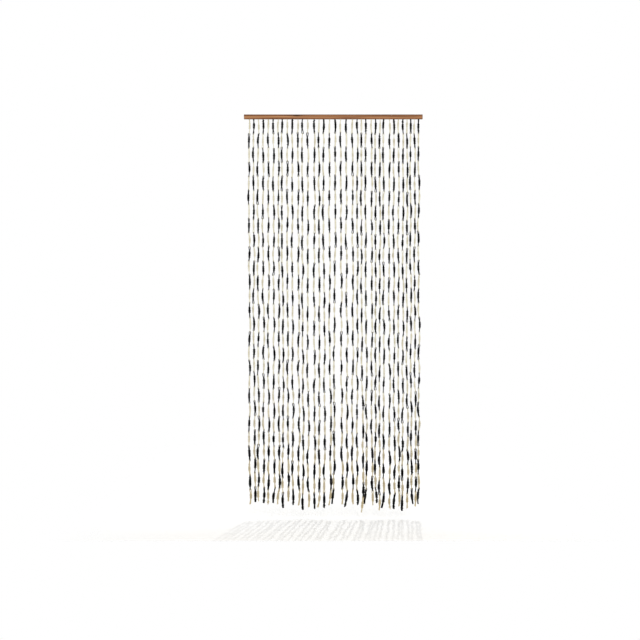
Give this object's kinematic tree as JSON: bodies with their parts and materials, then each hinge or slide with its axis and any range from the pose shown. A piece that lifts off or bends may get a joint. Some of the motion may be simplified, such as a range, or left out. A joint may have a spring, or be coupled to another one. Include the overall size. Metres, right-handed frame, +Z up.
{
  "type": "knotted door curtain on a wooden bar",
  "caption": "Knotted string door curtain hanging from a slim wooden bar, each strand a chain of short knotted links in cream and black by turns.",
  "frame": {"origin": "middle of the bar's flat top face", "axes": "+Z up, +X along the bar to the right as seen from the front, and -Y towards the viewer in front of the curtain"},
  "size_m": [0.9, 0.0203, 1.9978],
  "materials": {
    "oiled_wood": "oiled, with a straight horizontal grain",
    "cream_yarn": "soft matt cord, with every second link black"
  },
  "bodies": {
    "root": {"bar": "oiled_wood", "strands": "cream_yarn"}
  },
  "joints": []
}
